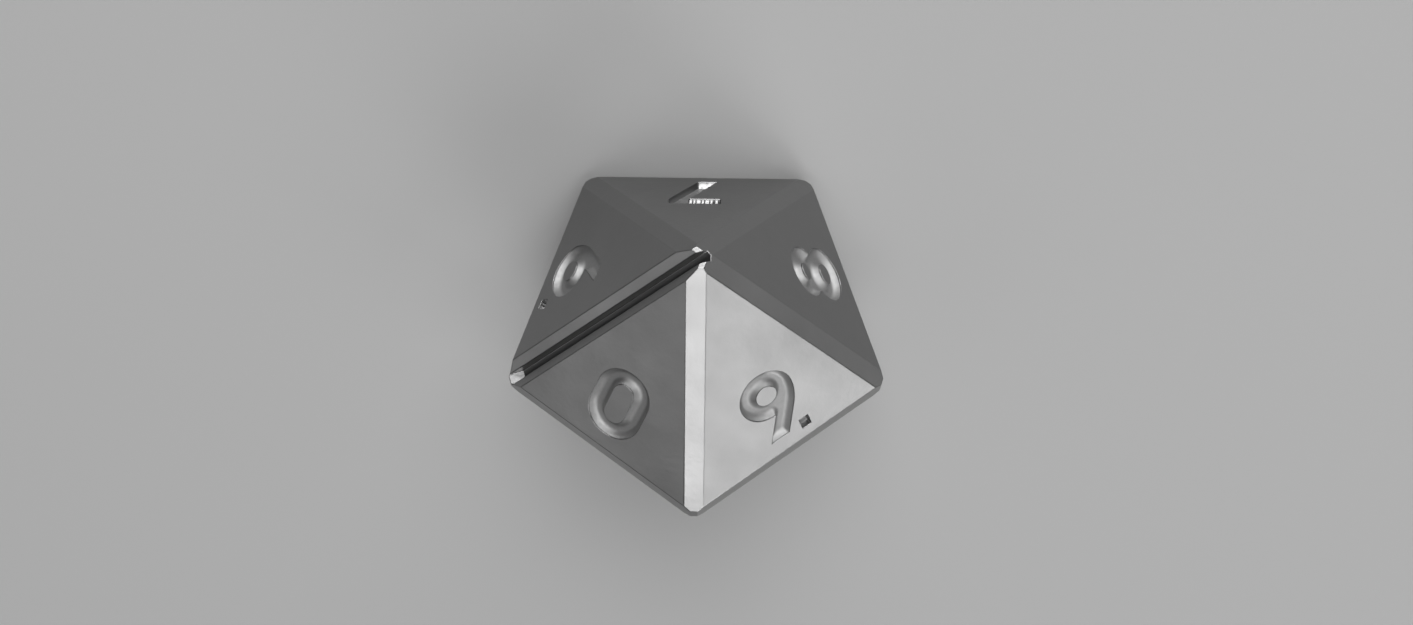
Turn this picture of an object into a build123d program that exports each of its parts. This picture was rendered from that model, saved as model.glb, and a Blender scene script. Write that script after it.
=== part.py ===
from build123d import *
from math import atan2, cos, degrees, hypot, radians, sin
import os

# Ten-sided numbered die: a pentagonal bipyramid with broken edges, engraved numerals and an
# index groove between its lowest and its next numeral. It lies on the face engraved 1.
# Millimetres. +Z is up from the table, +X runs along the lowest edge of the resting face, and
# the origin is the point of the table straight below the centre of the die.

# Sharp bipyramid that everything is cut from
side_count = 5
girdle_radius = 12.0
pole_height = 10.57

# Edges, corners and poles taken off it
ridge_setback = 0.60
girdle_setback = 0.96
corner_trim = 0.95
pole_trim = 0.83

# Index groove along one upper ridge, measured from the sharp ridge
groove_rim_setback = 0.94
groove_lip_depth = 0.68
groove_slot_depth = 1.22
groove_slot_width = 0.61

# Numerals
numeral_width = 3.30
numeral_height = 4.20
numeral_depth = 0.55
stem_stroke = 1.00
bar_stroke = 0.86
baseline_rise = 1.80
dot_size = 0.60
dot_shift_of_six = 2.03
dot_shift_of_nine = 1.36

# Ink coat on the floor of each numeral
ink_thickness = 0.12

# Numerals in order round the girdle, seen from above the upper pole
upper_numerals = (0, 9, 8, 7, 6)
lower_numerals = (4, 3, 2, 1, 5)
first_azimuth = 234.0
face_step = 360.0 / side_count
groove_azimuth = first_azimuth - face_step / 2

# Angles and distances of the sharp bipyramid
face_inradius = girdle_radius * cos(radians(face_step / 2))
face_slope = degrees(atan2(pole_height, face_inradius))
face_elevation = 90.0 - face_slope
face_distance = pole_height * cos(radians(face_slope))
ridge_length = hypot(girdle_radius, pole_height)

# The plane of the girdle, with the upper pole along its normal, tipped so that a lower face
# is level with the table
girdle = Plane(
    origin=(0, 0, face_distance),
    x_dir=(-1, 0, 0),
    z_dir=(0, -sin(radians(face_slope)), cos(radians(face_slope))),
)


def direction(azimuth, elevation):
    """Unit vector at an azimuth round the girdle and an elevation towards the upper pole."""
    level = girdle.x_dir * cos(radians(azimuth)) + girdle.y_dir * sin(radians(azimuth))
    return level * cos(radians(elevation)) + girdle.z_dir * sin(radians(elevation))


def facet(azimuth, elevation, distance):
    """Plane of a flat facet, with its normal pointing out of the die."""
    normal = direction(azimuth, elevation)
    return Plane(origin=girdle.origin + normal * distance, z_dir=normal)


def numeral_plane(azimuth, side):
    """Plane on a face, centred on its numeral, with the top of the numeral towards the pole."""
    outward = direction(azimuth, side * face_elevation)
    right = direction(azimuth + side * 90, 0)
    towards_pole = outward.cross(right)
    middle_of_edge = girdle.origin + direction(azimuth, 0) * face_inradius
    centre = middle_of_edge + towards_pole * (baseline_rise + numeral_height / 2)
    return Plane(origin=centre, x_dir=right, z_dir=outward)


# ---------------------------------------------------------------- numeral outlines
# Each is drawn in the current sketch, centred on the middle of the numeral's box.
half_width = numeral_width / 2
half_height = numeral_height / 2
stem_line = half_width - stem_stroke / 2

# Shapes inside the box, as shares of its half width, its half height or the stem stroke
bowl_rise = 1.324
oval_corner = 0.94
waist = 0.048
lobe_overlap = 0.333
upper_lobe_inset = 0.073
stem_1_shift = 0.3
flag_1_foot = 0.5
bowl_2_end = 0.007
diagonal_2_top_x = 0.8
diagonal_2_top_y = 0.126
gap_3_right = -0.2
diagonal_4_top = 0.5
diagonal_4_foot = -0.3
bar_4_foot = -0.55
stem_4_left = 0.1
bar_7_left = -0.8
diagonal_7_foot = -0.38
diagonal_7_top = 0.96
diagonal_7_reach = 1.1

# The stem of the 9 bends in under its bowl and then runs straight at a lean
stem_bend = 2.0
stem_lean = 33.7

bowl_foot = half_height - bowl_rise * half_height
bowl_middle = (bowl_foot + half_height) / 2


def ring(bottom, top, inset=0):
    """Closed oval bowl between two heights, thick at the sides and thinner above and below."""
    half_rise = (top - bottom) / 2
    with Locations((0, (top + bottom) / 2)):
        Ellipse(half_width - inset, half_rise)
        Ellipse(half_width - inset - stem_stroke, half_rise - bar_stroke, mode=Mode.SUBTRACT)


def stroke(*points, width=stem_stroke):
    """Straight strokes through the given points, with square ends."""
    with BuildLine() as path:
        Polyline(*points)
    trace(path.line, line_width=width)


def block(left, right, bottom, top, mode=Mode.ADD):
    """Rectangle between two sides and two heights."""
    with Locations(((left + right) / 2, (bottom + top) / 2)):
        Rectangle(right - left, top - bottom, mode=mode)


def trim_to_box():
    """Cut every stroke level with the numeral's box."""
    Rectangle(numeral_width, numeral_height, mode=Mode.INTERSECT)


def draw_0():
    inner_half_width = half_width - stem_stroke
    inner_height = numeral_height - 2 * bar_stroke
    RectangleRounded(numeral_width, numeral_height, oval_corner * half_width)
    RectangleRounded(2 * inner_half_width, inner_height, oval_corner * inner_half_width, mode=Mode.SUBTRACT)


def draw_1():
    stem_1 = stem_1_shift * stem_stroke
    stroke((stem_1, -half_height), (stem_1, half_height))
    stroke((-half_width, flag_1_foot * half_height), (stem_1, half_height), width=bar_stroke)
    trim_to_box()


def draw_2():
    ring(bowl_foot, half_height)
    block(-half_width, 0, bowl_foot, bowl_middle, Mode.SUBTRACT)
    block(0, half_width, bowl_foot, bowl_2_end * half_height, Mode.SUBTRACT)
    stroke((-stem_line, -half_height), (diagonal_2_top_x * stem_line, diagonal_2_top_y * half_height))
    block(-half_width, half_width, -half_height, bar_stroke - half_height)
    trim_to_box()


def draw_8():
    lap = lobe_overlap * half_height / 2
    ring(-half_height, waist * half_height + lap)
    ring(waist * half_height - lap, half_height, inset=upper_lobe_inset * half_width)


def draw_3():
    draw_8()
    gap_middle = waist * half_height
    gap_right = gap_3_right * stem_stroke
    block(-half_width, gap_right, gap_middle - stem_stroke, gap_middle + stem_stroke, Mode.SUBTRACT)


def draw_4():
    bar_foot = bar_4_foot * half_height
    stem_left = stem_4_left * half_width
    diagonal_top = (diagonal_4_top * stem_stroke, half_height)
    stroke(diagonal_top, (-stem_line, diagonal_4_foot * half_height), width=bar_stroke)
    block(-half_width, half_width, bar_foot, bar_foot + bar_stroke)
    block(stem_left, stem_left + stem_stroke, -half_height, half_height)


def draw_5():
    ring(-half_height, -bowl_foot)
    block(-half_width, 0, bar_stroke - half_height, half_height, Mode.SUBTRACT)
    block(-half_width, half_width, half_height - bar_stroke, half_height)
    block(-half_width, stem_stroke - half_width, -bowl_foot - bar_stroke, half_height)
    block(-half_width, 0, -bowl_foot - bar_stroke, -bowl_foot)


def draw_9():
    with BuildLine() as stem:
        bend = CenterArc((stem_line - stem_bend, bowl_middle), stem_bend, -stem_lean, stem_lean)
        Line(bend @ 0, bend @ 0 - (bend % 0) * numeral_height)
    trace(stem.line, line_width=stem_stroke)
    trim_to_box()
    ring(bowl_foot, half_height)


def draw_6():
    with BuildSketch(mode=Mode.PRIVATE) as upright:
        draw_9()
    add(upright.sketch, rotation=180)


def draw_7():
    block(bar_7_left * half_width, half_width, half_height - bar_stroke, half_height)
    foot = (diagonal_7_foot * half_width, -diagonal_7_reach * half_height)
    stroke(foot, (diagonal_7_top * half_width, diagonal_7_reach * half_height))
    trim_to_box()


outlines = {
    0: draw_0,
    1: draw_1,
    2: draw_2,
    3: draw_3,
    4: draw_4,
    5: draw_5,
    6: draw_6,
    7: draw_7,
    8: draw_8,
    9: draw_9,
}
dot_shifts = {6: dot_shift_of_six, 9: dot_shift_of_nine}

# ---------------------------------------------------------------- facets of the blank
face_azimuths = [first_azimuth + face_step * i for i in range(side_count)]
ridge_azimuths = [azimuth - face_step / 2 for azimuth in face_azimuths]

# A ridge's normal is midway between those of its two faces
ridge_elevation = degrees(atan2(girdle_radius, pole_height))
half_turn_at_ridge = direction(0, face_elevation).get_angle(direction(face_step / 2, ridge_elevation))
ridge_distance = pole_height * sin(radians(ridge_elevation))
ridge_cut = ridge_setback * sin(radians(half_turn_at_ridge))
girdle_cut = girdle_setback * cos(radians(face_slope))

facets = [facet(0, side * 90, pole_height - pole_trim) for side in (1, -1)]
for azimuth in face_azimuths:
    facets.append(facet(azimuth, 0, face_inradius - girdle_cut))
    facets.extend(facet(azimuth, side * face_elevation, face_distance) for side in (1, -1))
for azimuth in ridge_azimuths:
    facets.append(facet(azimuth, 0, girdle_radius - corner_trim))
    facets.extend(facet(azimuth, side * ridge_elevation, ridge_distance - ridge_cut) for side in (1, -1))

# ---------------------------------------------------------------- index groove
# Its section looks along the sharp ridge: a shallow flare down to the lips of a narrow slot.
ridge_start = girdle.origin + direction(groove_azimuth, 0) * girdle_radius
ridge_outward = direction(groove_azimuth, ridge_elevation)
ridge_along = (direction(0, 90) * pole_height - direction(groove_azimuth, 0) * girdle_radius).normalized()
ridge_section = Plane(origin=ridge_start, x_dir=ridge_outward.cross(ridge_along), z_dir=ridge_along)

rim_half_width = groove_rim_setback * cos(radians(half_turn_at_ridge))
rim_depth = groove_rim_setback * sin(radians(half_turn_at_ridge))
slot_half_width = groove_slot_width / 2

with BuildPart() as groove:
    with BuildSketch(ridge_section):
        with BuildLine():
            Polyline(
                (rim_half_width, girdle_radius),
                (rim_half_width, -rim_depth),
                (slot_half_width, -groove_lip_depth),
                (slot_half_width, -groove_slot_depth),
                (-slot_half_width, -groove_slot_depth),
                (-slot_half_width, -groove_lip_depth),
                (-rim_half_width, -rim_depth),
                (-rim_half_width, girdle_radius),
                close=True,
            )
        make_face()
    extrude(amount=2 * ridge_length, both=True)
    split(bisect_by=girdle, keep=Keep.TOP)

# ---------------------------------------------------------------- numerals and their ink
os.makedirs("parts", exist_ok=True)
recesses = []


def engrave(plane, draw, node):
    """Recess of one numeral or dot, and the ink coat that lies on its floor."""
    with BuildPart() as recess:
        with BuildSketch(plane):
            draw()
        extrude(amount=-numeral_depth)
    with BuildPart() as ink:
        add(recess.part)
        split(bisect_by=plane.offset(ink_thickness - numeral_depth), keep=Keep.BOTTOM)
    ink.part.label = node
    export_step(ink.part, f"parts/{node}.step")
    recesses.append(recess.part)


for side, numerals in ((1, upper_numerals), (-1, lower_numerals)):
    for azimuth, numeral in zip(face_azimuths, numerals):
        plane = numeral_plane(azimuth, side)
        engrave(plane, outlines[numeral], f"ink_{numeral}")
        if numeral in dot_shifts:
            dot_centre = plane.from_local_coords((dot_shifts[numeral], -half_height))
            dot_plane = Plane(origin=dot_centre, x_dir=plane.x_dir, z_dir=plane.z_dir)
            engrave(dot_plane, lambda: Rectangle(dot_size, dot_size), f"ink_dot_{numeral}")

# ---------------------------------------------------------------- moulded body
with BuildPart() as die_body:
    with BuildSketch(girdle):
        Circle(girdle_radius)
    extrude(amount=pole_height, both=True)
    for plane in facets:
        split(bisect_by=plane, keep=Keep.BOTTOM)
    add(groove.part, mode=Mode.SUBTRACT)
    add(recesses, mode=Mode.SUBTRACT)
die_body.part.label = "die_body"
export_step(die_body.part, "parts/die_body.step")
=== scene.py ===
import math

import bmesh
import bpy
from bpy.props import (
    FloatProperty,
    FloatVectorProperty,
    IntProperty,
    PointerProperty,
    StringProperty,
)
from mathutils import Euler, Matrix, Vector
from mathutils.geometry import delaunay_2d_cdt, tessellate_polygon
from mathutils.kdtree import KDTree


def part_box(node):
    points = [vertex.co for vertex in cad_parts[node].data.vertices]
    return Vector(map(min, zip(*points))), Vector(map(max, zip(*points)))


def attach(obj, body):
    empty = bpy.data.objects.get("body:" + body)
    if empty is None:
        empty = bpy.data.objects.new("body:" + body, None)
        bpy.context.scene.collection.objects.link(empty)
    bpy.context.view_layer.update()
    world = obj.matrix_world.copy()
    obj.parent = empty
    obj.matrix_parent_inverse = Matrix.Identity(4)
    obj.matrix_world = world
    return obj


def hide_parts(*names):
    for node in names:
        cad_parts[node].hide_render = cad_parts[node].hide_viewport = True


bl_info = {
    "name": "Ten-sided Die",
    "version": (1, 0, 0),
    "blender": (4, 5, 0),
    "location": "3D View > Sidebar > Die",
    "description": "Builds a cast ten-sided die with engraved, painted numerals and its studio stage",
    "category": "Add Mesh",
}

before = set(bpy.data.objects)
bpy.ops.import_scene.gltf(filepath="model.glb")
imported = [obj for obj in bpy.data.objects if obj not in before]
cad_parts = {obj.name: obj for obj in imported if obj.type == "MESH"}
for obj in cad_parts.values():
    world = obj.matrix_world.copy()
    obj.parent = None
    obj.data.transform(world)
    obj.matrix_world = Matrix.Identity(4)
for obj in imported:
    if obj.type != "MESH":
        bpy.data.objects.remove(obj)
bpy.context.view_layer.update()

# Meshes are worked in millimetres, with the poles on Z, and placed in metres at the end
MM = 0.001
BODY_NODE = "die_body"
COAT_NODES = sorted(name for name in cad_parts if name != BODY_NODE)
# Strokes that are all straight were cut with a square cutter, and their paint lies flat
SQUARE_CUT = ("ink_1", "ink_4", "ink_7", "ink_dot_6", "ink_dot_9")

# Mesh work: points closer than WELD (in millimetres) are one point, and facets within
# COPLANAR_ANGLE of each other are one facet
WELD = 0.001
COPLANAR_ANGLE = math.radians(0.5)
SHARP_ANGLE = math.radians(40)
MARKS_PER_SIDE = 5
# Share of the grid's spacing that is kept free beside an outline
GRID_GAP = 0.6
# Squared length that a corner's mean normal is not taken below, which limits its mitre
MITRE_FLOOR = 0.3
# The kind of result of delaunay_2d_cdt that keeps only what the outlines enclose
CDT_INSIDE = 1
CDT_EPSILON = 1e-6

# Surfaces: the span of noise that is spread over a roughness, how far it is spread, and how
# deep a dimple is as a share of the distance between dimples
NOISE_LOW, NOISE_HIGH = 0.3, 0.7
ZINC_SPREAD = 0.03
PAINT_SPREAD = 0.04
DIMPLE_SHARE = 0.1
ZINC_BUMP = 0.25
PAINT_BUMP = 0.15


# ---------------------------------------------------------------- sizes a user would change
class DieBlankSizes(bpy.types.PropertyGroup):
    """Sizes of the blank before its numerals are sunk."""

    side_count: IntProperty(name="Sides", description="Numbered faces on each half", default=5, min=3)
    girdle_radius: FloatProperty(
        name="Girdle Radius", description="Axis to a sharp girdle corner",
        default=12.0 * MM, subtype="DISTANCE"
    )
    pole_height: FloatProperty(
        name="Pole Height", description="Girdle to a sharp pole", default=10.57 * MM, subtype="DISTANCE"
    )
    ridge_setback: FloatProperty(
        name="Ridge Setback", description="Width that a ridge facet takes off each face",
        default=0.60 * MM, subtype="DISTANCE"
    )
    girdle_setback: FloatProperty(
        name="Girdle Setback", description="Width that a girdle facet takes off each face",
        default=0.96 * MM, subtype="DISTANCE"
    )
    corner_trim: FloatProperty(
        name="Corner Trim", description="Length cut off each girdle corner",
        default=0.95 * MM, subtype="DISTANCE"
    )
    pole_trim: FloatProperty(
        name="Pole Trim", description="Height cut off each pole", default=0.83 * MM, subtype="DISTANCE"
    )
    groove_azimuth: FloatProperty(
        name="Groove Azimuth", description="Where the grooved ridge stands round the girdle",
        default=math.radians(198), subtype="ANGLE"
    )
    edge_round: FloatProperty(
        name="Edge Round", description="Width of the round that tumbling leaves on an edge",
        default=0.04 * MM, subtype="DISTANCE"
    )
    edge_steps: IntProperty(name="Edge Steps", description="Flats across an edge's round", default=3, min=1)


class DieGrooveSizes(bpy.types.PropertyGroup):
    """Section of the index groove, measured from its sharp ridge."""

    rim_setback: FloatProperty(
        name="Rim Setback", description="Ridge to the groove's rim, along a face",
        default=0.94 * MM, subtype="DISTANCE"
    )
    lip_depth: FloatProperty(
        name="Lip Depth", description="Ridge to the lips of the slot", default=0.68 * MM, subtype="DISTANCE"
    )
    slot_depth: FloatProperty(
        name="Slot Depth", description="Ridge to the floor of the slot",
        default=1.22 * MM, subtype="DISTANCE"
    )
    slot_width: FloatProperty(
        name="Slot Width", description="Between the walls of the slot", default=0.61 * MM, subtype="DISTANCE"
    )


class DieNumeralSizes(bpy.types.PropertyGroup):
    """Sizes of the sunk numerals and of the paint in them."""

    depth: FloatProperty(
        name="Depth", description="Face to the floor of a numeral", default=0.55 * MM, subtype="DISTANCE"
    )
    lip_round: FloatProperty(
        name="Lip Round", description="Radius where a face turns down into a numeral",
        default=0.03 * MM, subtype="DISTANCE"
    )
    lip_steps: IntProperty(name="Lip Steps", description="Flats round a lip", default=3, min=1)
    wall_draft: FloatProperty(
        name="Wall Draft", description="How far a wall leans in by its foot",
        default=0.05 * MM, subtype="DISTANCE"
    )
    spacing: FloatProperty(
        name="Spacing", description="Greatest step along an outline", default=0.10 * MM, subtype="DISTANCE"
    )
    corner: FloatProperty(
        name="Corner", description="A sharper turn in an outline is kept as a corner",
        default=math.radians(33), subtype="ANGLE"
    )
    paint_level: FloatProperty(
        name="Paint Level", description="Thickness of the paint away from the walls",
        default=0.12 * MM, subtype="DISTANCE"
    )
    paint_climb: FloatProperty(
        name="Paint Climb", description="How far wet paint crept up a wall",
        default=0.37 * MM, subtype="DISTANCE"
    )
    paint_reach: FloatProperty(
        name="Paint Reach", description="How far from a wall the paint is still rising",
        default=0.38 * MM, subtype="DISTANCE"
    )
    square_climb: FloatProperty(
        name="Square Climb", description="The same climb in a square-cut numeral",
        default=0.04 * MM, subtype="DISTANCE"
    )
    square_reach: FloatProperty(
        name="Square Reach", description="The same reach in a square-cut numeral",
        default=0.10 * MM, subtype="DISTANCE"
    )
    paint_grid: FloatProperty(
        name="Paint Grid", description="Distance between points on the paint's surface",
        default=0.08 * MM, subtype="DISTANCE"
    )
    paint_bite: FloatProperty(
        name="Paint Bite", description="How far a coat's edge is set into the wall",
        default=0.012 * MM, subtype="DISTANCE"
    )


class DieFinishes(bpy.types.PropertyGroup):
    """Colours and surface grain."""

    zinc_colour: StringProperty(name="Zinc", description="sRGB colour of the cast zinc", default="#868686")
    zinc_shade: StringProperty(
        name="Zinc Shade", description="sRGB colour of its darker patches",
        default="#7E7E7E"
    )
    zinc_roughness: FloatProperty(
        name="Zinc Roughness", description="Roughness of the satin surface", default=0.33, subtype="FACTOR"
    )
    paint_colour: StringProperty(
        name="Paint", description="sRGB colour of the numeral paint",
        default="#929292"
    )
    paint_roughness: FloatProperty(
        name="Paint Roughness", description="Roughness of the numeral paint", default=0.58, subtype="FACTOR"
    )
    grain: FloatProperty(
        name="Blast Grain", description="Distance between the dimples left by blasting",
        default=0.25 * MM, subtype="DISTANCE"
    )
    patch: FloatProperty(
        name="Patch Size", description="Size of the faint patches from handling",
        default=4.0 * MM, subtype="DISTANCE"
    )
    floor_colour: StringProperty(name="Floor", description="sRGB colour of the floor", default="#939393")


class DieStageSetup(bpy.types.PropertyGroup):
    """Camera, floor and lights."""

    camera_aim: FloatVectorProperty(
        name="Camera Aim", description="Point that the camera looks at",
        default=(-0.57 * MM, -0.68 * MM, 6.80 * MM), subtype="TRANSLATION"
    )
    camera_distance: FloatProperty(
        name="Camera Distance", description="Camera to the point it looks at",
        default=92.2 * MM, subtype="DISTANCE"
    )
    camera_azimuth: FloatProperty(
        name="Camera Azimuth", description="Side of the die that the camera stands on",
        default=math.radians(-89.9), subtype="ANGLE"
    )
    camera_elevation: FloatProperty(
        name="Camera Elevation", description="Height of the camera above the floor",
        default=math.radians(63.96), subtype="ANGLE"
    )
    camera_roll: FloatProperty(
        name="Camera Roll", description="Turn of the camera about its own axis",
        default=math.radians(180.6), subtype="ANGLE"
    )
    camera_lens: FloatProperty(
        name="Lens", description="Focal length in millimetres",
        default=41.0, subtype="NONE"
    )
    floor_size: FloatProperty(
        name="Floor Size", description="Side of the square floor",
        default=3.0, subtype="DISTANCE"
    )


SETTINGS = {
    "die_blank": DieBlankSizes,
    "die_groove": DieGrooveSizes,
    "die_numerals": DieNumeralSizes,
    "die_finishes": DieFinishes,
    "die_stage": DieStageSetup,
}


# ---------------------------------------------------------------- where things are
def face_step():
    """Angle between neighbouring ridges."""
    return math.tau / bpy.context.scene.die_blank.side_count


def face_inradius():
    """Axis to the middle of a sharp girdle edge, in millimetres."""
    return bpy.context.scene.die_blank.girdle_radius / MM * math.cos(face_step() / 2)


def face_slope():
    """Angle between a face and the girdle."""
    return math.atan2(bpy.context.scene.die_blank.pole_height / MM, face_inradius())


def resting_place():
    """From millimetres about the poles to metres in the row frame, lying on a lower face."""
    height = bpy.context.scene.die_blank.pole_height * math.cos(face_slope())
    turn = Matrix.Rotation(face_slope(), 4, "X") @ Matrix.Rotation(math.pi, 4, "Z")
    return Matrix.Translation((0, 0, height)) @ turn @ Matrix.Scale(MM, 4)


def face_normals():
    """Outward normals of the numbered faces, about the poles."""
    blank = bpy.context.scene.die_blank
    rise = math.pi / 2 - face_slope()
    normals = []
    for number in range(blank.side_count):
        azimuth = blank.groove_azimuth + face_step() * (number + 0.5)
        for side in (1, -1):
            level = Vector((math.cos(azimuth), math.sin(azimuth), 0)) * math.cos(rise)
            normals.append(level + Vector((0, 0, side * math.sin(rise))))
    return normals


# ---------------------------------------------------------------- nodes
def add(tree, kind, inputs, **settings):
    """Add a node with its settings, and feed each input a value, a socket or a list of sockets."""
    node = tree.nodes.new(kind)
    for name, value in settings.items():
        setattr(node, name, value)
    for key, value in inputs.items():
        sources = value if isinstance(value, list) else [value]
        for source in sources:
            if isinstance(source, bpy.types.NodeSocket):
                tree.links.new(source, node.inputs[key])
            else:
                node.inputs[key].default_value = source
    return node


def linear(hex_colour):
    """Linear RGBA of an sRGB hex colour."""
    channels = [int(hex_colour[i : i + 2], 16) / 255 for i in (1, 3, 5)]
    return tuple(c / 12.92 if c <= 0.04045 else ((c + 0.055) / 1.055) ** 2.4 for c in channels) + (1.0,)


# ---------------------------------------------------------------- the blank, by rule
BLANK_INPUTS = (
    "Girdle radius",
    "Pole height",
    "Ridge facet radius",
    "Ridge facet pole",
    "Girdle facet radius",
    "Pole flat height",
    "Corner flat radius",
    "Groove mouth depth",
    "Groove mouth slope",
    "Slot depth",
    "Slot width",
)


def blank_tree():
    """Faces, ridge, girdle, corner and pole facets as solids that overlap, less the index groove."""
    tree = bpy.data.node_groups.new("die_blank", "GeometryNodeTree")
    tree.interface.new_socket("Geometry", in_out="OUTPUT", socket_type="NodeSocketGeometry")
    tree.interface.new_socket("Sides", in_out="INPUT", socket_type="NodeSocketInt")
    for name in BLANK_INPUTS:
        tree.interface.new_socket(name, in_out="INPUT", socket_type="NodeSocketFloat")
    for name in ("Half step", "Groove tilt", "Groove azimuth"):
        tree.interface.new_socket(name, in_out="INPUT", socket_type="NodeSocketFloat")
    tree.interface.new_socket("Material", in_out="INPUT", socket_type="NodeSocketMaterial")
    size = tree.nodes.new("NodeGroupInput").outputs
    half_turn = Vector((math.pi, 0, 0))
    half_step = add(tree, "ShaderNodeCombineXYZ", {"Z": size["Half step"]}).outputs[0]

    # Two double pyramids, the second turned half a step so that its faces cut the ridges
    solids = []
    for radius, pole, turned in (
        ("Girdle radius", "Pole height", False),
        ("Ridge facet radius", "Ridge facet pole", True),
    ):
        cone = add(
            tree,
            "GeometryNodeMeshCone",
            {
                "Vertices": size["Sides"],
                "Radius Top": 0.0,
                "Radius Bottom": size[radius],
                "Depth": size[pole],
            },
            fill_type="NONE",
        ).outputs["Mesh"]
        lower = add(tree, "GeometryNodeTransform", {"Geometry": cone, "Rotation": half_turn}).outputs[0]
        both = add(tree, "GeometryNodeJoinGeometry", {"Geometry": [cone, lower]}).outputs[0]
        solid = add(tree, "GeometryNodeMergeByDistance", {"Geometry": both, "Distance": WELD}).outputs[0]
        if turned:
            solid = add(tree, "GeometryNodeTransform", {"Geometry": solid, "Rotation": half_step}).outputs[0]
        solids.append(solid)

    # Two prisms: the girdle facets with the pole flats, and the corner flats
    flat_to_flat = add(
        tree, "ShaderNodeMath", {0: size["Pole flat height"], 1: 2.0}, operation="MULTIPLY"
    ).outputs[0]
    for radius, turned in (("Girdle facet radius", False), ("Corner flat radius", True)):
        prism = add(
            tree,
            "GeometryNodeMeshCylinder",
            {"Vertices": size["Sides"], "Radius": size[radius], "Depth": flat_to_flat},
        ).outputs["Mesh"]
        if turned:
            prism = add(tree, "GeometryNodeTransform", {"Geometry": prism, "Rotation": half_step}).outputs[0]
        solids.append(prism)
    blank = solids[0]
    for solid in solids[1:]:
        blank = add(
            tree,
            "GeometryNodeMeshBoolean",
            {"Mesh 2": [blank, solid]},
            operation="INTERSECT",
            solver="MANIFOLD",
        ).outputs["Mesh"]

    # Groove: X points out of the ridge, Y across it and Z along it. The mouth is a long rhombus
    # whose lower flanks are the flare.
    long = add(tree, "ShaderNodeMath", {0: size["Girdle radius"], 1: 4.0}, operation="MULTIPLY").outputs[0]
    mouth_half = add(
        tree,
        "ShaderNodeMath",
        {0: size["Groove mouth slope"], 1: size["Girdle radius"]},
        operation="MULTIPLY",
    ).outputs[0]
    mouth_scale = add(
        tree, "ShaderNodeCombineXYZ", {"X": mouth_half, "Y": size["Girdle radius"], "Z": 1.0}
    ).outputs[0]
    mouth_rise = add(
        tree, "ShaderNodeMath", {0: mouth_half, 1: size["Groove mouth depth"]}, operation="SUBTRACT"
    ).outputs[0]
    mouth_place = add(tree, "ShaderNodeCombineXYZ", {"X": mouth_rise}).outputs[0]
    rhombus = add(
        tree, "GeometryNodeMeshCylinder", {"Vertices": 4, "Radius": 1.0, "Depth": long}
    ).outputs["Mesh"]
    mouth = add(
        tree,
        "GeometryNodeTransform",
        {"Geometry": rhombus, "Translation": mouth_place, "Scale": mouth_scale},
    ).outputs[0]
    slot_size = add(
        tree, "ShaderNodeCombineXYZ", {"X": long, "Y": size["Slot width"], "Z": long}
    ).outputs[0]
    half_long = add(tree, "ShaderNodeMath", {0: long, 1: 0.5}, operation="MULTIPLY").outputs[0]
    slot_rise = add(
        tree, "ShaderNodeMath", {0: half_long, 1: size["Slot depth"]}, operation="SUBTRACT"
    ).outputs[0]
    slot_place = add(tree, "ShaderNodeCombineXYZ", {"X": slot_rise}).outputs[0]
    slot_box = add(tree, "GeometryNodeMeshCube", {"Size": slot_size}).outputs["Mesh"]
    slot = add(tree, "GeometryNodeTransform", {"Geometry": slot_box, "Translation": slot_place}).outputs[0]
    groove = add(
        tree, "GeometryNodeMeshBoolean", {"Mesh 2": [mouth, slot]}, operation="UNION", solver="MANIFOLD"
    ).outputs["Mesh"]
    tilt = add(tree, "ShaderNodeCombineXYZ", {"Y": size["Groove tilt"]}).outputs[0]
    corner = add(tree, "ShaderNodeCombineXYZ", {"X": size["Girdle radius"]}).outputs[0]
    groove = add(
        tree, "GeometryNodeTransform", {"Geometry": groove, "Translation": corner, "Rotation": tilt}
    ).outputs[0]
    upper_size = add(tree, "ShaderNodeCombineXYZ", {"X": long, "Y": long, "Z": long}).outputs[0]
    upper_place = add(tree, "ShaderNodeCombineXYZ", {"Z": half_long}).outputs[0]
    upper = add(tree, "GeometryNodeMeshCube", {"Size": upper_size}).outputs["Mesh"]
    upper = add(tree, "GeometryNodeTransform", {"Geometry": upper, "Translation": upper_place}).outputs[0]
    groove = add(
        tree, "GeometryNodeMeshBoolean", {"Mesh 2": [groove, upper]}, operation="INTERSECT", solver="MANIFOLD"
    ).outputs["Mesh"]
    blank = add(
        tree,
        "GeometryNodeMeshBoolean",
        {"Mesh 1": blank, "Mesh 2": [groove]},
        operation="DIFFERENCE",
        solver="MANIFOLD",
    ).outputs["Mesh"]

    azimuth = add(tree, "ShaderNodeCombineXYZ", {"Z": size["Groove azimuth"]}).outputs[0]
    blank = add(tree, "GeometryNodeTransform", {"Geometry": blank, "Rotation": azimuth}).outputs[0]
    blank = add(tree, "GeometryNodeRealizeInstances", {"Geometry": blank}).outputs[0]
    blank = add(tree, "GeometryNodeSetMaterial", {"Geometry": blank, "Material": size["Material"]}).outputs[0]
    add(tree, "NodeGroupOutput", {"Geometry": blank})
    return tree


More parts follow.
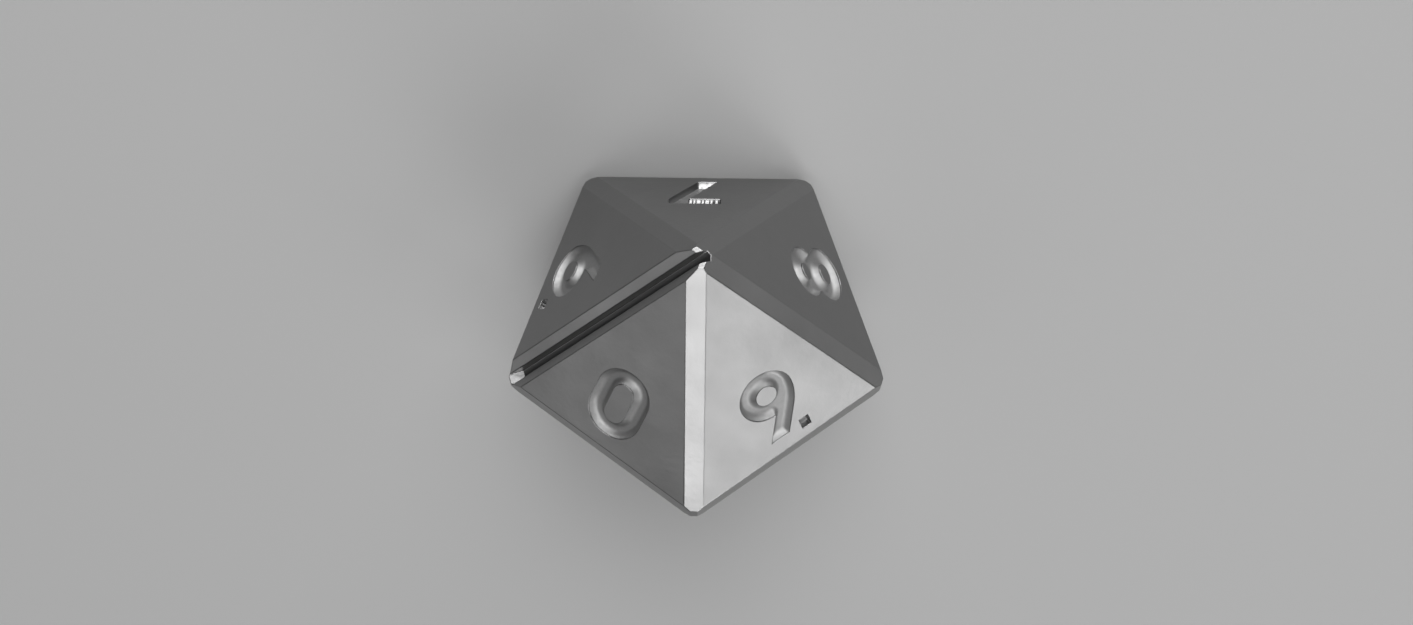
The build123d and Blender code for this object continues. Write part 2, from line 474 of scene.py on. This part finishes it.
def blank_values(material):
    """What the blank's inputs are for the sizes that are set, in millimetres."""
    blank = bpy.context.scene.die_blank
    groove = bpy.context.scene.die_groove
    radius = blank.girdle_radius / MM
    pole = blank.pole_height / MM
    rise = math.pi / 2 - face_slope()
    ridge_rise = math.atan2(radius, pole)
    half_step = face_step() / 2

    # Half the turn between the two faces that meet at a ridge
    cosine = math.cos(rise) * math.cos(half_step) * math.cos(ridge_rise)
    cosine += math.sin(rise) * math.sin(ridge_rise)
    half_turn = math.acos(cosine)
    ridge_distance = pole * math.sin(ridge_rise) - blank.ridge_setback / MM * math.sin(half_turn)
    rim_half_width = groove.rim_setback / MM * math.cos(half_turn)
    rim_depth = groove.rim_setback / MM * math.sin(half_turn)
    slot_half_width = groove.slot_width / MM / 2
    lip_depth = groove.lip_depth / MM
    flare = (lip_depth - rim_depth) / (rim_half_width - slot_half_width)
    return {
        "Sides": blank.side_count,
        "Girdle radius": radius,
        "Pole height": pole,
        "Ridge facet radius": ridge_distance / math.cos(ridge_rise) / math.cos(half_step),
        "Ridge facet pole": ridge_distance / math.sin(ridge_rise),
        "Girdle facet radius": (face_inradius() - blank.girdle_setback / MM * math.cos(face_slope()))
        / math.cos(half_step),
        "Pole flat height": pole - blank.pole_trim / MM,
        "Corner flat radius": (radius - blank.corner_trim / MM) / math.cos(half_step),
        "Groove mouth depth": lip_depth + slot_half_width * flare,
        "Groove mouth slope": flare,
        "Slot depth": groove.slot_depth / MM,
        "Slot width": groove.slot_width / MM,
        "Half step": half_step,
        "Groove tilt": -ridge_rise,
        "Groove azimuth": blank.groove_azimuth,
        "Material": material,
    }


def plain_mesh_of_blank(material):
    """Run the node tree once and keep its result as an ordinary mesh."""
    tree = blank_tree()
    maker = bpy.data.objects.new("blank_maker", bpy.data.meshes.new("blank_maker"))
    bpy.context.scene.collection.objects.link(maker)
    modifier = maker.modifiers.new("blank", "NODES")
    modifier.node_group = tree
    values = blank_values(material)
    for item in tree.interface.items_tree:
        if item.in_out == "INPUT":
            modifier[item.identifier] = values[item.name]
    evaluated = maker.evaluated_get(bpy.context.evaluated_depsgraph_get())
    mesh = bpy.data.meshes.new_from_object(evaluated)
    maker.modifiers.remove(modifier)
    bpy.data.objects.remove(maker)
    return mesh


# ---------------------------------------------------------------- numeral outlines
def outline_of(node, normal):
    """Edge loops of a coat's top face, in order, in millimetres about the poles."""
    bm = bmesh.new()
    bm.from_mesh(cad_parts[node].data)
    bmesh.ops.transform(bm, matrix=resting_place().inverted(), verts=bm.verts)
    bmesh.ops.remove_doubles(bm, verts=bm.verts, dist=WELD)
    bm.normal_update()
    top = {face for face in bm.faces if face.normal.dot(normal) > 0.99}
    following = {}
    for face in top:
        for corner in face.loops:
            if sum(other in top for other in corner.edge.link_faces) == 1:
                following[corner.vert] = corner.link_loop_next.vert
    loops = []
    while following:
        start, vert = next(iter(following.items()))
        del following[start]
        loop = [start.co.copy()]
        while vert is not start:
            loop.append(vert.co.copy())
            vert = following.pop(vert)
        loops.append(loop)
    bm.free()
    return loops


class NumeralPlane:
    """The plane of one numbered face, with the numerals and dots that are on it."""

    def __init__(self, normal):
        self.normal = normal
        distance = bpy.context.scene.die_blank.pole_height / MM * math.cos(face_slope())
        across = Vector((0, 0, 1)).cross(normal).normalized()
        self.place = Matrix.Translation(normal * distance) @ Matrix(
            (across, normal.cross(across), normal)
        ).transposed().to_4x4()
        self.coats = {}

    def flat(self, point):
        """A point's place on the plane."""
        return (self.place.inverted() @ point).to_2d()

    def at(self, point, depth):
        """The point at a place on the plane and a depth below it."""
        return self.place @ Vector((point.x, point.y, -depth))


def numeral_planes():
    """Every numbered face, with the smooth outlines of the coats on it."""
    sizes = bpy.context.scene.die_numerals
    planes = [NumeralPlane(normal) for normal in face_normals()]
    inverse = resting_place().inverted()
    for node in COAT_NODES:
        low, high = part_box(node)
        middle = inverse @ ((low + high) / 2)
        plane = max(planes, key=lambda p: p.normal.dot(middle))
        loops = [[plane.flat(point) for point in loop] for loop in outline_of(node, plane.normal)]
        plane.coats[node] = [smooth(loop, sizes.spacing / MM, sizes.corner) for loop in loops]
    return planes


def smooth(points, spacing, corner):
    """The same outline with its arcs drawn finely and its corners kept."""
    sides = [points[(i + 1) % len(points)] - points[i] for i in range(len(points))]
    tangents = []
    for before, after in zip([sides[-1]] + sides, sides):
        # A long straight side sets the direction where it meets an arc
        blend = before * before.length + after * after.length
        tangents.append(None if before.angle(after) > corner else blend.normalized())
    result = []
    for i, side in enumerate(sides):
        chord = side.normalized()
        leaving, arriving = tangents[i], tangents[(i + 1) % len(points)]
        if leaving is None:
            leaving = chord if arriving is None else 2 * chord.dot(arriving) * chord - arriving
        if arriving is None:
            arriving = 2 * chord.dot(leaving) * chord - leaving
        steps = math.ceil(side.length / spacing)
        for step in range(steps):
            t = step / steps
            result.append(
                points[i]
                + side * (3 * t**2 - 2 * t**3)
                + leaving * side.length * (t**3 - 2 * t**2 + t)
                + arriving * side.length * (t**3 - t**2)
            )
    return result


def inset(points, distance):
    """The outline moved into its numeral by a distance, or out of it where that is negative."""
    moved = []
    for before, point, after in zip([points[-1]] + points, points, points[1:] + points[:1]):
        first = (point - before).normalized().orthogonal()
        second = (after - point).normalized().orthogonal()
        middle = (first + second) / 2
        moved.append(point + middle * distance / max(middle.length_squared, MITRE_FLOOR))
    return moved


def fine_surface(loops, spacing):
    """Places of a fine triangle mesh between outlines, its faces, and how far each place is from
    an outline. The outlines' own points come first, in order."""
    outline = [point for loop in loops for point in loop]
    links, first = [], 0
    for loop in loops:
        links += [(first + i, first + (i + 1) % len(loop)) for i in range(len(loop))]
        first += len(loop)
    marks = [
        outline[a].lerp(outline[b], share / MARKS_PER_SIDE)
        for a, b in links
        for share in range(MARKS_PER_SIDE)
    ]
    tree = KDTree(len(marks))
    for i, mark in enumerate(marks):
        tree.insert(mark.to_3d(), i)
    tree.balance()
    low = Vector((min(p.x for p in outline), min(p.y for p in outline)))
    high = Vector((max(p.x for p in outline), max(p.y for p in outline)))
    row_step = spacing * math.sqrt(3) / 2
    grid = []
    for row in range(1, math.ceil((high.y - low.y) / row_step)):
        for column in range(math.ceil((high.x - low.x) / spacing)):
            point = low + Vector(((column + row % 2 / 2) * spacing, row * row_step))
            if tree.find(point.to_3d())[2] > spacing * GRID_GAP:
                grid.append(point)
    verts, _, faces, sources, _, _ = delaunay_2d_cdt(outline + grid, links, [], CDT_INSIDE, CDT_EPSILON)
    counters = [loop for loop in loops if signed_area(loop) < 0]
    middles = [sum((verts[i] for i in face), Vector((0, 0))) / len(face) for face in faces]
    faces = [f for f, middle in zip(faces, middles) if not any(encloses(c, middle) for c in counters)]
    number_of = {source: i for i, own in enumerate(sources) for source in own}
    used = sorted({i for face in faces for i in face})
    order = [number_of[i] for i in range(len(outline))]
    order += [i for i in used if i not in set(order)]
    new_number = {old: new for new, old in enumerate(order)}
    places = [verts[i] for i in order]
    distances = [tree.find(place.to_3d())[2] for place in places]
    return places, [[new_number[i] for i in face] for face in faces], distances


def encloses(loop, point):
    """Whether a point is inside a loop: a line from it crosses the loop an odd number of times."""
    crossings = 0
    for a, b in zip(loop, loop[1:] + loop[:1]):
        if (a.y > point.y) != (b.y > point.y):
            crossings += point.x < a.x + (b.x - a.x) * (point.y - a.y) / (b.y - a.y)
    return crossings % 2 == 1


def signed_area(points):
    """Positive for an outer outline, negative for the counter inside it."""
    return sum(a.cross(b) for a, b in zip(points, points[1:] + points[:1])) / 2


# ---------------------------------------------------------------- mesh building
def join_rings(bm, upper, lower):
    """A band of four-sided faces between two rings of vertices, seen from the open side."""
    for i in range(len(upper)):
        j = (i + 1) % len(upper)
        bm.faces.new((upper[i], upper[j], lower[j], lower[i])).smooth = True


def fill(bm, rings, flat, outward=True):
    """Flat face between an outer ring of vertices and the rings inside it."""
    outlines = [[flat(vert.co).to_3d() for vert in ring] for ring in rings]
    verts = [vert for ring in rings for vert in ring]
    for triangle in tessellate_polygon(outlines):
        corners = [verts[i] for i in triangle]
        a, b, c = (flat(vert.co) for vert in corners)
        if ((b - a).cross(c - a) > 0) != outward:
            corners.reverse()
        bm.faces.new(corners)


def round_edges(bm, width, steps):
    """Merge the facets that boolean work split, and round every edge between them."""
    bmesh.ops.remove_doubles(bm, verts=bm.verts, dist=width / 4)
    bmesh.ops.dissolve_limit(bm, angle_limit=COPLANAR_ANGLE, verts=bm.verts, edges=bm.edges)
    bm.normal_update()
    result = bmesh.ops.bevel(
        bm,
        geom=bm.edges[:],
        offset=width,
        offset_type="OFFSET",
        segments=steps,
        profile=0.5,
        affect="EDGES",
        clamp_overlap=True,
    )
    for face in result["faces"]:
        face.smooth = True


def sink_numerals(bm, plane):
    """Open the face of one plane and build the lips, walls and floors of its numerals."""
    sizes = bpy.context.scene.die_numerals
    facing = [face for face in bm.faces if face.normal.dot(plane.normal) > 0.9999]
    facet = max(facing, key=lambda face: face.calc_area())
    openings = [list(facet.verts)]
    bm.faces.remove(facet)
    radius = sizes.lip_round / MM
    depth = sizes.depth / MM
    section = []
    for step in range(sizes.lip_steps + 1):
        turn = math.pi / 2 * step / sizes.lip_steps
        section.append((radius * (math.sin(turn) - 1), radius * (1 - math.cos(turn))))
    section.append((sizes.wall_draft / MM, depth))
    for loops in plane.coats.values():
        floor_rings = []
        for loop in sorted(loops, key=signed_area, reverse=True):
            rings = []
            for distance, below in section:
                ring = [bm.verts.new(plane.at(point, below)) for point in inset(loop, distance)]
                if rings:
                    join_rings(bm, rings[-1], ring)
                rings.append(ring)
            floor_rings.append(rings[-1])
            if signed_area(loop) > 0:
                openings.append(rings[0])
            else:
                fill(bm, [rings[0]], plane.flat)
        fill(bm, floor_rings, plane.flat)
    fill(bm, openings, plane.flat)


def finished(name, bm, material):
    """A piece from its mesh, placed in the row frame and riding on the die."""
    bmesh.ops.transform(bm, matrix=resting_place(), verts=bm.verts)
    bmesh.ops.recalc_face_normals(bm, faces=bm.faces)
    mesh = bpy.data.meshes.new(name)
    bm.to_mesh(mesh)
    bm.free()
    mesh.materials.clear()
    mesh.materials.append(material)
    piece = bpy.data.objects.new(name, mesh)
    bpy.context.scene.collection.objects.link(piece)
    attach(piece, "root")
    return piece


# ---------------------------------------------------------------- materials
def new_material(name):
    """An empty node material with its tree."""
    material = bpy.data.materials.new(name)
    material.use_nodes = True
    material.node_tree.nodes.clear()
    return material, material.node_tree


def blasted_cast_zinc():
    """Zinc alloy, cast and bead blasted: a soft wide highlight, a fine even grain and the
    faintest patches where handling has polished it. Real dimples are about 0.05 mm apart, and
    they are drawn as coarse as the grain setting so that they show."""
    finish = bpy.context.scene.die_finishes
    material, tree = new_material("satin_cast_zinc")
    place = add(tree, "ShaderNodeTexCoord", {}).outputs["Object"]
    patches = add(
        tree,
        "ShaderNodeTexNoise",
        {"Vector": place, "Scale": 1 / finish.patch, "Detail": 3.0, "Roughness": 0.6},
    ).outputs["Fac"]
    colour = add(
        tree,
        "ShaderNodeMix",
        {"Factor": patches, 6: linear(finish.zinc_colour), 7: linear(finish.zinc_shade)},
        data_type="RGBA",
    ).outputs[2]
    rough = add(
        tree,
        "ShaderNodeMapRange",
        {
            "Value": patches,
            "From Min": NOISE_LOW,
            "From Max": NOISE_HIGH,
            "To Min": finish.zinc_roughness - ZINC_SPREAD,
            "To Max": finish.zinc_roughness + ZINC_SPREAD,
        },
    ).outputs[0]
    dimples = add(
        tree,
        "ShaderNodeTexNoise",
        {"Vector": place, "Scale": 1 / finish.grain, "Detail": 2.0, "Roughness": 0.5},
    ).outputs["Fac"]
    bump = add(
        tree,
        "ShaderNodeBump",
        {"Height": dimples, "Strength": ZINC_BUMP, "Distance": finish.grain * DIMPLE_SHARE},
    ).outputs[0]
    shader = add(
        tree,
        "ShaderNodeBsdfPrincipled",
        {"Base Color": colour, "Metallic": 1.0, "Roughness": rough, "Normal": bump},
    ).outputs[0]
    add(tree, "ShaderNodeOutputMaterial", {"Surface": shader})
    return material


def numeral_paint():
    """Grey metallic enamel, wiped into the numerals: a little lighter than the metal and softer in
    its shine, so it shows the form of the channel. Its flakes are drawn as coarse as the grain
    setting, since real ones of about 0.05 mm would not show."""
    finish = bpy.context.scene.die_finishes
    material, tree = new_material("metallic_enamel")
    place = add(tree, "ShaderNodeTexCoord", {}).outputs["Object"]
    flakes = add(
        tree,
        "ShaderNodeTexNoise",
        {"Vector": place, "Scale": 1 / finish.grain, "Detail": 1.0, "Roughness": 0.5},
    ).outputs["Fac"]
    rough = add(
        tree,
        "ShaderNodeMapRange",
        {
            "Value": flakes,
            "From Min": NOISE_LOW,
            "From Max": NOISE_HIGH,
            "To Min": finish.paint_roughness - PAINT_SPREAD,
            "To Max": finish.paint_roughness + PAINT_SPREAD,
        },
    ).outputs[0]
    bump = add(
        tree,
        "ShaderNodeBump",
        {"Height": flakes, "Strength": PAINT_BUMP, "Distance": finish.grain * DIMPLE_SHARE},
    ).outputs[0]
    shader = add(
        tree,
        "ShaderNodeBsdfPrincipled",
        {"Base Color": linear(finish.paint_colour), "Metallic": 1.0, "Roughness": rough, "Normal": bump},
    ).outputs[0]
    add(tree, "ShaderNodeOutputMaterial", {"Surface": shader})
    return material


def studio_card():
    """Matt pale grey card: even, with no shine."""
    finish = bpy.context.scene.die_finishes
    material, tree = new_material("matt_card")
    shader = add(
        tree,
        "ShaderNodeBsdfPrincipled",
        {"Base Color": linear(finish.floor_colour), "Roughness": 0.95, "Specular IOR Level": 0.2},
    ).outputs[0]
    add(tree, "ShaderNodeOutputMaterial", {"Surface": shader})
    return material


# ---------------------------------------------------------------- operators
class DIE_OT_cast_body(bpy.types.Operator):
    """Cast the body: its facets and index groove by rule, rounded edges and sunk numerals"""

    bl_idname = "die.cast_body"
    bl_label = "Cast Body"

    def execute(self, context):
        blank = context.scene.die_blank
        material = blasted_cast_zinc()
        mesh = plain_mesh_of_blank(material)
        bm = bmesh.new()
        bm.from_mesh(mesh)
        round_edges(bm, blank.edge_round / MM, blank.edge_steps)
        bm.normal_update()
        for plane in numeral_planes():
            sink_numerals(bm, plane)
        if any(not edge.is_manifold for edge in bm.edges):
            raise RuntimeError("the body has open edges")
        piece = finished("cast_body", bm, material)
        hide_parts(BODY_NODE)
        return {"FINISHED"}


class DIE_OT_paint_numerals(bpy.types.Operator):
    """Fill the floor of each numeral and dot with paint that has crept up the walls"""

    bl_idname = "die.paint_numerals"
    bl_label = "Paint Numerals"

    def execute(self, context):
        sizes = context.scene.die_numerals
        material = numeral_paint()
        floor = sizes.depth / MM
        level = floor - sizes.paint_level / MM
        for plane in numeral_planes():
            for node, loops in plane.coats.items():
                bm = bmesh.new()
                edges = [inset(loop, -sizes.paint_bite / MM) for loop in loops]
                square = node in SQUARE_CUT
                reach = (sizes.square_reach if square else sizes.paint_reach) / MM
                climb = (sizes.square_climb if square else sizes.paint_climb) / MM
                places, faces, distances = fine_surface(edges, sizes.paint_grid / MM)
                rise = [climb * max(0, 1 - d / reach) ** 2 for d in distances]
                top = [bm.verts.new(plane.at(p, level - r)) for p, r in zip(places, rise)]
                for corners in faces:
                    bm.faces.new([top[i] for i in corners]).smooth = True
                foot_rings = []
                first = 0
                for edge in edges:
                    foot = [bm.verts.new(plane.at(point, floor)) for point in edge]
                    join_rings(bm, foot, top[first : first + len(edge)])
                    foot_rings.append(foot)
                    first += len(edge)
                fill(bm, foot_rings, plane.flat, outward=False)
                if any(not edge.is_manifold for edge in bm.edges):
                    raise RuntimeError(f"the coat for {node} has open edges")
                piece = finished(node.replace("ink", "paint"), bm, material)
                piece.data.set_sharp_from_angle(angle=SHARP_ANGLE)
                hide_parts(node)
        return {"FINISHED"}


class DIE_OT_set_stage(bpy.types.Operator):
    """Lay a pale card floor and set the soft lights and the camera"""

    bl_idname = "die.set_stage"
    bl_label = "Set Stage"

    def execute(self, context):
        setup = context.scene.die_stage
        half = setup.floor_size / 2
        card = bpy.data.meshes.new("card_floor")
        corners = [(-half, -half, 0), (half, -half, 0), (half, half, 0), (-half, half, 0)]
        card.from_pydata(corners, [], [(0, 1, 2, 3)])
        card.materials.append(studio_card())
        floor = bpy.data.objects.new("card_floor", card)
        context.scene.collection.objects.link(floor)
        for name, azimuth, elevation, width, height, power in SOFT_BOXES:
            set_soft_box(context, name, azimuth, elevation, width, height, power)
        world = bpy.data.worlds.new("studio_fill")
        world.use_nodes = True
        world.node_tree.nodes["Background"].inputs["Color"].default_value = (1, 1, 1, 1)
        world.node_tree.nodes["Background"].inputs["Strength"].default_value = FILL_STRENGTH
        context.scene.world = world
        context.scene.view_settings.view_transform = "Standard"
        camera = bpy.data.objects.new("camera", bpy.data.cameras.new("camera"))
        camera.data.lens = setup.camera_lens
        camera.data.clip_start = 0.005
        outward = sphere(setup.camera_azimuth, setup.camera_elevation)
        turn = outward.to_track_quat("Z", "Y") @ Euler((0, 0, setup.camera_roll)).to_quaternion()
        camera_place = Vector(setup.camera_aim) + outward * setup.camera_distance
        camera.matrix_world = Matrix.LocRotScale(camera_place, turn, None)
        context.scene.collection.objects.link(camera)
        context.scene.camera = camera
        return {"FINISHED"}


def sphere(azimuth, elevation):
    """Unit vector at an azimuth and an elevation."""
    level = math.cos(elevation)
    return Vector((level * math.cos(azimuth), level * math.sin(azimuth), math.sin(elevation)))


# Soft boxes: name, azimuth, elevation, width, height, watts. A least-squares fit of the facets'
# tones by a separate program chose them among boxes placed by hand, with most of the watts,
# and some were then merged, rounded or adjusted by hand.
SOFT_BOX_DISTANCE = 0.60
SOFT_BOXES = (
    ("front_low", 262, 7.5, 0.60, 0.15, 3.20),
    ("front_middle", 270, 42, 0.25, 0.25, 1.50),
    ("front_key", 240, 42, 0.25, 0.25, 0.64),
    ("front_high", 270, 65, 0.22, 0.22, 0.98),
    ("overhead", 88, 76, 0.22, 0.22, 0.86),
    ("back_high", 120, 42, 0.25, 0.25, 0.87),
    ("back_low", 120, 12, 0.25, 0.25, 1.34),
    ("key_side", 158, 38, 0.22, 0.22, 0.57),
    ("key_high", 180, 65, 0.22, 0.22, 0.48),
    ("key_low", 191, 7.5, 0.22, 0.15, 0.10),
    ("far_back", 21, 38, 0.22, 0.22, 0.16),
    ("far_side", 0, 42, 0.25, 0.25, 0.11),
)
# The room is dark: the soft boxes and the floor give all the light
FILL_STRENGTH = 0.0


def set_soft_box(context, name, azimuth, elevation, width, height, power):
    """One rectangular soft box turned towards the die."""
    light = bpy.data.lights.new(name, "AREA")
    light.shape = "RECTANGLE"
    light.size = width
    light.size_y = height
    light.energy = power
    box = bpy.data.objects.new(name, light)
    outward = sphere(math.radians(azimuth), math.radians(elevation))
    box.matrix_world = Matrix.LocRotScale(outward * SOFT_BOX_DISTANCE, outward.to_track_quat("Z", "Y"), None)
    context.scene.collection.objects.link(box)


class DIE_PT_sidebar(bpy.types.Panel):
    """Panel that lists the steps in order."""

    bl_idname = "DIE_PT_sidebar"
    bl_label = "Ten-sided Die"
    bl_space_type = "VIEW_3D"
    bl_region_type = "UI"
    bl_category = "Die"

    def draw(self, context):
        for step in STEPS:
            self.layout.operator(step.bl_idname)
        for setting, kind in SETTINGS.items():
            column = self.layout.column(align=True)
            for name in kind.__annotations__:
                column.prop(getattr(context.scene, setting), name)


STEPS = (DIE_OT_cast_body, DIE_OT_paint_numerals, DIE_OT_set_stage)
CLASSES = (*SETTINGS.values(), *STEPS, DIE_PT_sidebar)


def register():
    for kind in CLASSES:
        bpy.utils.register_class(kind)
    for setting, kind in SETTINGS.items():
        setattr(bpy.types.Scene, setting, PointerProperty(type=kind))


def unregister():
    for setting in SETTINGS:
        delattr(bpy.types.Scene, setting)
    for kind in reversed(CLASSES):
        bpy.utils.unregister_class(kind)


def main():
    """Make every piece and the stage."""
    register()
    bpy.ops.die.cast_body()
    bpy.ops.die.paint_numerals()
    bpy.ops.die.set_stage()


if __name__ == "__main__":
    main()
